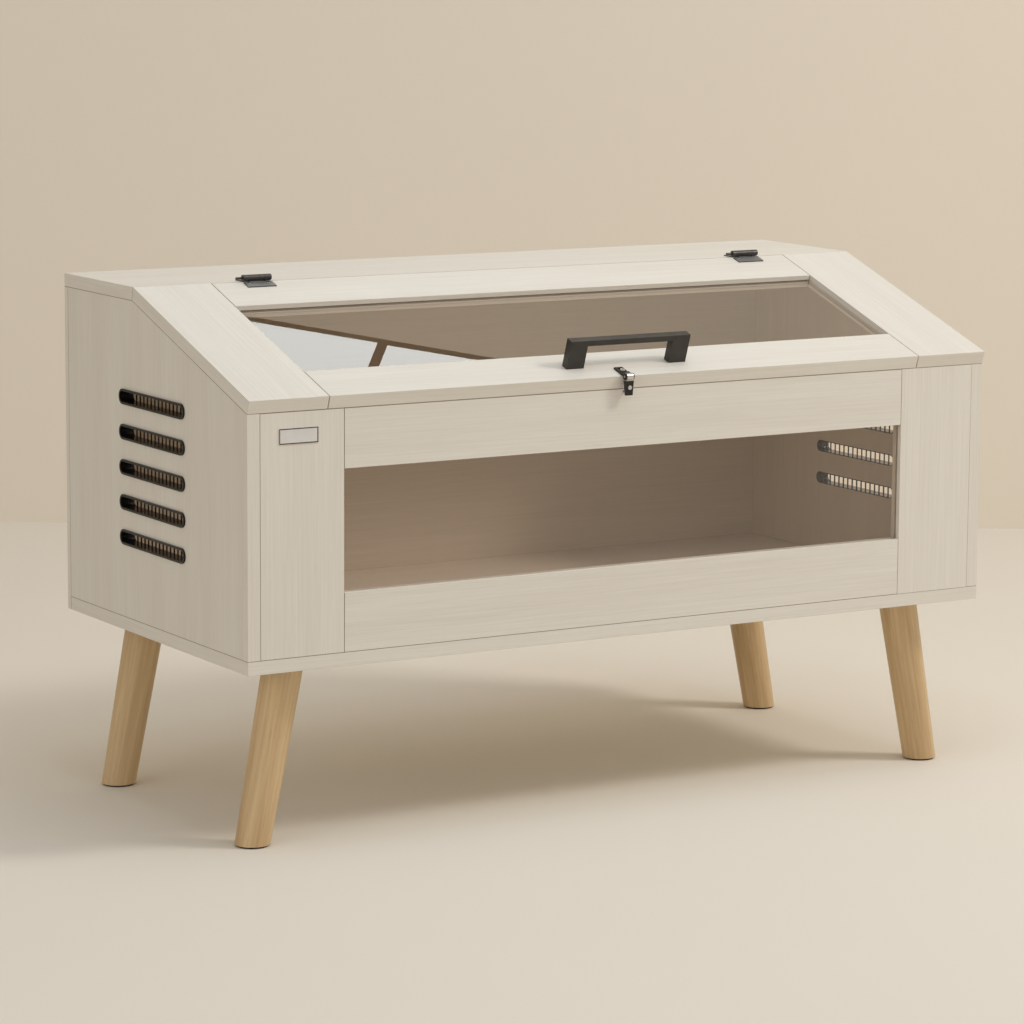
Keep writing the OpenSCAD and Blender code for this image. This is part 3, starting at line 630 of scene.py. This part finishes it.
def turned_wood():
    """The one finish of all legs."""
    finish, shader = new_finish("turned_leg_wood", LEG_PALE, Coat_Weight=0.18, Coat_Roughness=0.3)
    block = own_record(finish, "in_the_block", "Vector")
    figure = stretched_noise(finish, block, LEG_FIGURE)
    rings = stretched_noise(finish, block, LEG_RINGS, shift=2.4)
    pores = stretched_noise(finish, block, LEG_PORES, detail=1.0, shift=6.2)
    tone = sums(finish, "MULTIPLY", figure, FIGURE_SHARE)
    tone = sums(finish, "ADD", tone, sums(finish, "MULTIPLY", rings, RING_SHARE))
    tone = spread(finish, tone, 0.36, 0.64)
    lines = spread(finish, pores, 0.6, 0.75, 0.0, 0.4)
    colour = fade(finish, tone, LEG_DEEP, LEG_PALE)
    colour = fade(finish, lines, colour, LEG_LINE)
    join(finish, colour, shader.inputs["Base Color"])
    join(finish, spread(finish, rings, 0.3, 0.7, 0.42, 0.55), shader.inputs["Roughness"])
    raise_surface(finish, shader, rings, LEG_RELIEF)
    return finish


leg_wood = turned_wood()
print("made", leg_wood.name)

# %% Legs
FOOT_ROUNDING = 1.6 * MM
FOOT_LEVEL = 0.02 * MM
SHORTEST_RIM_EDGE = 1.0 * MM
SPLAY = math.radians(11)
LEG_NODES = ["leg_front_left", "leg_front_right", "leg_rear_left", "leg_rear_right"]


def mark_block(shape, outward, number):
    """Writes each point's place in the leg's block, with its long direction third."""
    down_leg = Vector((outward * math.sin(SPLAY), 0, -math.cos(SPLAY)))
    beside = down_leg.cross(Y)
    record = shape.verts.layers.float_vector.new("in_the_block")
    for vert in shape.verts:
        place = Vector((vert.co.dot(beside), vert.co.y, vert.co.dot(down_leg)))
        vert[record] = place + Vector((number, number, number)) * BOARD_STEP


def make_leg(node, number):
    """Rounds a leg's foot and records its place in the block."""
    shape = copy_of(node)
    foot = min(v.co.z for v in shape.verts)
    long_edges = corners(shape, SHORTEST_RIM_EDGE)
    rim = [e for e in long_edges if all(v.co.z < foot + FOOT_LEVEL for v in e.verts)]
    ease(shape, rim, FOOT_ROUNDING, segments=4)
    mark_block(shape, math.copysign(1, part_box(node)[0][0]), number)
    return put_in_place(shape, "turned_" + node, "cabinet", [leg_wood], [node])


for number, node in enumerate(LEG_NODES):
    leg = make_leg(node, number)
    print(leg.name, len(leg.data.polygons), "faces")

# %% [markdown]
# ## Clear panes
# The window and the lid's pane are clear sheet, which shows the inside almost unchanged and
# mirrors a little of the room, more at a low angle. A refracting glass shader would turn every
# lamp behind it into noise. A clear shader with a mirror mixed in by Fresnel lets the light in
# as the thin sheet does. Only the outer side of each face mirrors: light that is already in the
# sheet and isn't bent would meet the other side at too low an angle and never leave.

# %% The panes' finish
PANE_TINT = chart(253, 250, 247)
PANE_IOR = 1.5
BOTH_SIDES = 1.7  # what both sides mirror together, of what one does
PANE_SMEARS = (9.0, 9.0, 9.0)


def clear_sheet():
    """A clear sheet that mirrors as much as the angle makes it."""
    finish, shader = new_finish("clear_sheet", PANE_TINT, Metallic=1.0)
    smears = stretched_noise(finish, own_place(finish), PANE_SMEARS, detail=4.0)
    join(finish, spread(finish, smears, 0.3, 0.7, 0.0, 0.025), shader.inputs["Roughness"])
    clear = add(finish, "BsdfTransparent")
    clear.inputs["Color"].default_value = PANE_TINT
    mirror = add(finish, "Fresnel")
    mirror.inputs["IOR"].default_value = PANE_IOR
    outside = sums(finish, "SUBTRACT", 1.0, add(finish, "NewGeometry").outputs["Backfacing"])
    share = sums(finish, "MULTIPLY", mirror.outputs["Fac"], BOTH_SIDES)
    share = sums(finish, "MULTIPLY", share, outside)
    surface = finish.node_tree.nodes["Material Output"].inputs["Surface"]
    choose_between(finish, share, clear.outputs["BSDF"], shader.outputs["BSDF"], surface)
    return finish


sheet_finish = clear_sheet()
PANE_EASED = 0.3 * MM
for node, body in (("front_pane", "cabinet"), ("lid_pane", "lid")):
    shape = copy_of(node)
    ease(shape, corners(shape), PANE_EASED)
    pane = put_in_place(shape, "polished_" + node, body, [sheet_finish], [node])
    print(pane.name, len(pane.data.polygons), "faces")

# %% [markdown]
# ## Black parts
# Five dark coats lie side by side here: moulded plastic in the vents, a fine powder coat on the
# latch, a smoother one on the handle, and on the hinges a glossy one and a grey one that is a
# painted sheen on the leaves' flats. They differ in sheen more than in colour: the vents' plastic
# is so smooth that each sleeve mirrors its bars. Each has a fine grain in its relief, and is a
# little paler where edges are rubbed; on the hinges' knuckles that paler edge is also a painted
# highlight.

# %% Their finishes
GRAIN_OF_COAT = (2600.0, 2600.0, 2600.0)
SOFT_PATCHES = (70.0, 70.0, 70.0)


def black_coat(name, colour, rubbed, dull, bright, depth, shine=0.5):
    """A black finish: its colour, the colour where it is rubbed, and its range of roughness."""
    finish, shader = new_finish(name, colour, Specular_IOR_Level=shine)
    grain = stretched_noise(finish, own_place(finish), GRAIN_OF_COAT, detail=2.0)
    patches = stretched_noise(finish, own_place(finish), SOFT_PATCHES, shift=1.9)
    worn = own_record(finish, "edge_wear", "Fac")
    worn = sums(finish, "MULTIPLY", worn, spread(finish, patches, 0.4, 0.65, 0.3, 0.9))
    tone = spread(finish, patches, 0.35, 0.7, 0.0, 0.22)
    tone = sums(finish, "MAXIMUM", tone, worn)
    join(finish, fade(finish, tone, colour, rubbed), shader.inputs["Base Color"])
    join(finish, spread(finish, patches, 0.3, 0.7, dull, bright), shader.inputs["Roughness"])
    raise_surface(finish, shader, grain, depth)
    return finish


moulded_black = black_coat(
    "moulded_black", chart(22, 20, 18), chart(34, 31, 28), 0.26, 0.16, 0.004 * MM, 0.25
)
powder_black = black_coat(
    "powder_black", chart(24, 22, 21), chart(58, 55, 52), 0.52, 0.42, 0.02 * MM, 0.35
)
handle_black = black_coat(
    "handle_black_coat", chart(39, 35, 30), chart(70, 65, 59), 0.46, 0.36, 0.03 * MM
)
# The knuckles' pale rubbed colour is wear on their eased edges and also painted highlight speckles.
knuckle_black = black_coat(
    "knuckle_black", chart(27, 25, 23), chart(96, 90, 82), 0.44, 0.3, 0.04 * MM, 0.6
)
# The hinge leaves' grey flats are a painted sheen.
painted_sheen_grey = black_coat(
    "painted_sheen_grey", chart(104, 101, 98), chart(134, 131, 127), 0.42, 0.32, 0.01 * MM
)
print("five dark coats made")

# %% [markdown]
# ## Vent grilles
# Each slot is lined with a moulded sleeve whose bars stand at its inner end. The moulding has a
# tiny radius on every edge. The ten are alike, so one loop makes them.

# %% Grilles
GRILLE_EASED = 0.22 * MM
SHORTEST_GRILLE_EDGE = 3 * GRILLE_EASED
GRILLES = [f"{side}_vent_grille_{n}" for side in ("left", "right") for n in range(1, 6)]


def make_grille(node):
    """A grille with the radius of a moulding on its edges."""
    shape = copy_of(node)
    rounded = ease(shape, corners(shape, SHORTEST_GRILLE_EDGE), GRILLE_EASED, segments=1)
    mark(shape, "edge_wear", rounded)
    name = "moulded_" + node
    return put_in_place(shape, name, "cabinet", [moulded_black], [node])


for node in GRILLES:
    grille = make_grille(node)
print(len(GRILLES), "grilles of", len(grille.data.polygons), "faces")

# %% [markdown]
# ## Handle, hinges and latch
# The handle is a square bar bent out of solid stock, with crisp edges eased by under a
# millimetre. The hinges are pressed steel rolled round a pin. The latch is a small plate with a
# bright barrel that carries a strap. All keep the CAD shapes, with the edges a press leaves.

# %% Bright metals
METAL_PATCHES = (45.0, 45.0, 45.0)
SMOOTHEST = 0.8  # of a metal's roughness, on its fine lines
ROUGHEST = 1.35


def bright_coat(name, colour, dull_colour, roughness, brushed, depth, bare=1.0):
    """A metal, bare or under a clear coat. Its fine lines run the way with the lowest count."""
    finish, shader = new_finish(name, colour, Metallic=bare)
    lines = stretched_noise(finish, own_place(finish), brushed, roughness=0.6)
    patches = stretched_noise(finish, own_place(finish), METAL_PATCHES, shift=4.4)
    tone = spread(finish, patches, 0.35, 0.7)
    join(finish, fade(finish, tone, colour, dull_colour), shader.inputs["Base Color"])
    rough = spread(finish, lines, 0.3, 0.7, roughness * SMOOTHEST, roughness * ROUGHEST)
    join(finish, rough, shader.inputs["Roughness"])
    raise_surface(finish, shader, lines, depth)
    return finish


bright_nickel = bright_coat(
    "bright_nickel", chart(222, 220, 217), chart(200, 197, 193), 0.3, (900, 900, 900), 0.004 * MM
)
zinc_plate = bright_coat(
    "zinc_plate", chart(186, 188, 190), chart(160, 163, 166), 0.36, (400, 400, 400), 0.01 * MM
)
satin_plate = bright_coat(
    "satin_plate", chart(222, 219, 214), chart(212, 208, 202), 0.5, (25, 25, 3000), 0.008 * MM, 0.15
)
print("three metals made")

# %% Pressed and turned metal pieces
METAL_PIECES = {
    # node: (body, finish, slot, how far its edges are eased)
    "lid_handle": ("lid", handle_black, "handle_black", 0.8 * MM),
    "left_hinge_pin": ("cabinet", knuckle_black, "black_metal", 0.3 * MM),
    "right_hinge_pin": ("cabinet", knuckle_black, "black_metal", 0.3 * MM),
    "latch_plate": ("lid", powder_black, "black_metal", 0.2 * MM),
    "latch_strap": ("latch", powder_black, "black_metal", 0.5 * MM),
    "latch_barrel": ("latch", bright_nickel, "bright_metal", 0.25 * MM),
    "latch_rivet": ("latch", bright_nickel, "bright_metal", 0.4 * MM),
}


def make_metal_piece(node):
    """A piece with its edges eased as its table says, and worn there."""
    body, finish, slot, width = METAL_PIECES[node]
    shape = copy_of(node)
    mark(shape, "edge_wear", ease(shape, corners(shape), width, segments=3))
    return put_in_place(shape, "finished_" + node, body, [finish], [node])


for node in METAL_PIECES:
    piece = make_metal_piece(node)
    print(piece.name, len(piece.data.polygons), "faces")

# %% [markdown]
# ### Hinge leaves
# A butt hinge is pressed from one strip, and its flat leaf takes the light quite differently from
# its rolled knuckles, so the flats are painted grey as a painted sheen, and the rest is black. The
# flat face is easy to tell apart, since it looks straight up from its board and lies below the pin.

# %% Hinge leaves
LEAF_EASED = 0.25 * MM
LEAF_HIGHEST = 2.0 * MM  # above the board, and below the pin
HINGE_LEAVES = {
    # node: (body, way up from its board)
    "left_hinge_body_leaf": ("cabinet", Z),
    "right_hinge_body_leaf": ("cabinet", Z),
    "left_hinge_lid_leaf": ("lid", OFF_SLOPE),
    "right_hinge_lid_leaf": ("lid", OFF_SLOPE),
}


def make_hinge_leaf(node):
    """A leaf whose flat is painted grey as a painted sheen and whose knuckles are black."""
    body, way = HINGE_LEAVES[node]
    shape = copy_of(node)
    board = min(v.co.dot(way) for v in shape.verts)
    mark(shape, "edge_wear", ease(shape, corners(shape), LEAF_EASED, segments=3))
    # the flat face looking up gets the painted sheen
    for face in shape.faces:
        low = face.calc_center_median().dot(way) - board < LEAF_HIGHEST
        if low and face.normal.dot(way) > SQUARE_ON:
            face.material_index = 1
    finishes = [knuckle_black, painted_sheen_grey]
    return put_in_place(shape, "pressed_" + node, body, finishes, [node])


for node in HINGE_LEAVES:
    leaf = make_hinge_leaf(node)
    print(leaf.name, len(leaf.data.polygons), "faces")

# %% [markdown]
# ## The name plate
# A small satin metal plate with a dark rim sits on the left post. It is left bare. The rim is
# made by insetting the front face and letting the middle sink by 0.3 mm. The rim's dark colour is
# painted shade, so its finish is a dark coat and not the plate's metal.

# %% Name plate
RIM_WIDTH = 1.3 * MM
RIM_RISE = 0.3 * MM
PLATE_EASED = 0.12 * MM
SHORTEST_PLATE_EDGE = 1.0 * MM
# The rim's dark colour is painted shade.
rim_painted_shade = black_coat("rim_painted_shade", chart(46, 38, 31), chart(84, 74, 64), 0.55, 0.45, 0.01 * MM)


def make_name_plate():
    """A plate with a raised rim, dark with painted shade, round a bare face."""
    shape = copy_of("name_plate")
    face = min(shape.faces, key=lambda f: f.calc_center_median().y)
    rim = bmesh.ops.inset_region(shape, faces=[face], thickness=RIM_WIDTH)["faces"]
    step = bmesh.ops.inset_region(shape, faces=[face], thickness=RIM_RISE, depth=-RIM_RISE)
    # the rim and its sunk step get the painted shade
    for dark in rim + step["faces"]:
        dark.material_index = 1
    mark(shape, "edge_wear", ease(shape, corners(shape, SHORTEST_PLATE_EDGE), PLATE_EASED))
    finishes = [satin_plate, rim_painted_shade]
    name = "bare_name_plate"
    return put_in_place(shape, name, "cabinet", finishes, ["name_plate"])


name_plate = make_name_plate()
print(name_plate.name, len(name_plate.data.polygons), "faces")

# %% [markdown]
# ## Screws
# Every screw that shows, from any side, has a cross-shaped recess in its head. A cross could be
# cut with a boolean, but a head is one round face, and bmesh tools can shape it in place: inset
# the face, draw its ring of corners in and out four times on the way round, and sink what lies
# inside. The head keeps its flat rim and the cross gets sloping walls, as the driver leaves it.

# %% Screws
RIM_EASED = 0.12 * MM
RIM_SHARE = 0.3  # of the head's radius, outside the cross
ARM_REACH = 0.66  # how far out the cross reaches, of the head's radius
NOTCH_REACH = 0.24  # the same between its arms
ARM_CRISPNESS = 3.0
RECESS_SHARE = 0.42  # the recess's depth, of the head's radius
WALL_SHARE = 0.05  # how far in its walls lean, of the head's radius
HEAD_ON = 0.9999
SCREWS = {
    # node: (body, finish, slot, way its heads face)
    "hinge_body_screws": ("cabinet", bright_nickel, "bright_metal", Z),
    "hinge_lid_screws": ("lid", bright_nickel, "bright_metal", OFF_SLOPE),
    "leg_plate_screws": ("cabinet", zinc_plate, "zinc_steel", -Z),
    "base_screws": ("cabinet", zinc_plate, "zinc_steel", -Z),
    "back_screws": ("cabinet", zinc_plate, "zinc_steel", Y),
    "handle_screws": ("lid", zinc_plate, "zinc_steel", -OFF_SLOPE),
    "latch_plate_screw": ("lid", bright_nickel, "bright_metal", OFF_SLOPE),
}


def sink_cross(shape, head):
    """Shapes a round face into a cross-shaped recess."""
    middle = head.calc_center_median()
    radius = max((v.co - middle).length for v in head.verts)
    side = (head.verts[0].co - middle).normalized()
    other = head.normal.cross(side)
    bmesh.ops.inset_region(shape, faces=[head], thickness=radius * RIM_SHARE)
    for vert in head.verts:
        arm = vert.co - middle
        turn = math.atan2(arm.dot(other), arm.dot(side))
        lobe = abs(math.cos(2 * turn)) ** ARM_CRISPNESS
        reach = NOTCH_REACH + (ARM_REACH - NOTCH_REACH) * lobe
        vert.co = middle + arm.normalized() * radius * reach
    down = radius * RECESS_SHARE
    bmesh.ops.inset_region(shape, faces=[head], thickness=radius * WALL_SHARE, depth=-down)


def make_screws(node):
    """Gives every head of a set of screws its cross."""
    body, finish, slot, way = SCREWS[node]
    shape = copy_of(node)
    mark(shape, "edge_wear", ease(shape, corners(shape), RIM_EASED))
    heads = [f for f in shape.faces if f.normal.dot(way) > HEAD_ON]
    for head in heads:
        sink_cross(shape, head)
    piece = put_in_place(shape, "driven_" + node, body, [finish], [node])
    return piece, len(heads)


for node in SCREWS:
    piece, count = make_screws(node)
    print(piece.name, count, "heads,", len(piece.data.polygons), "faces")

# %% [markdown]
# ## What stays as the CAD has it
# The dowels, the legs' bolts, plates and pads, the keeper's stud and the latch's pin keep their
# CAD shapes. They still get a real finish, because the object may be opened up or seen from below.

# %% The remaining finishes
DOWEL_GRAIN = (300.0, 300.0, 300.0)
DOWEL_RELIEF = 0.05 * MM
PAD_FIBRES = (1800.0, 1800.0, 1800.0)
PAD_RELIEF = 0.15 * MM


def dowel_beech():
    """Plain beech, for the dowels."""
    finish, shader = new_finish("dowel_beech", chart(206, 176, 132), Roughness=0.6)
    grain = stretched_noise(finish, own_place(finish), DOWEL_GRAIN)
    colour = fade(finish, grain, chart(190, 156, 110), chart(214, 188, 146))
    join(finish, colour, shader.inputs["Base Color"])
    raise_surface(finish, shader, grain, DOWEL_RELIEF)
    return finish


def pad_felt():
    """Dark felt, for the pads under the legs."""
    finish, shader = new_finish("pad_felt", chart(62, 50, 40), Roughness=0.95)
    fibres = stretched_noise(finish, own_place(finish), PAD_FIBRES, detail=4.0)
    colour = fade(finish, fibres, chart(48, 38, 31), chart(80, 66, 54))
    join(finish, colour, shader.inputs["Base Color"])
    raise_surface(finish, shader, fibres, PAD_RELIEF)
    return finish


SLOT_FINISHES = {
    "zinc_steel": zinc_plate,
    "bright_metal": bright_nickel,
    "dowel_wood": dowel_beech(),
    "pad": pad_felt(),
}
carried = 0
for part in frame["record"]["subparts"]:
    node = frame["nodes"][part["node"]]
    if node.hide_render:
        continue
    for slot in node.material_slots:
        slot.material = SLOT_FINISHES[part["material_slot"]]
    carried += 1
    print("carried over:", part["node"], part["material_slot"])
print(carried, "CAD nodes keep their shape")
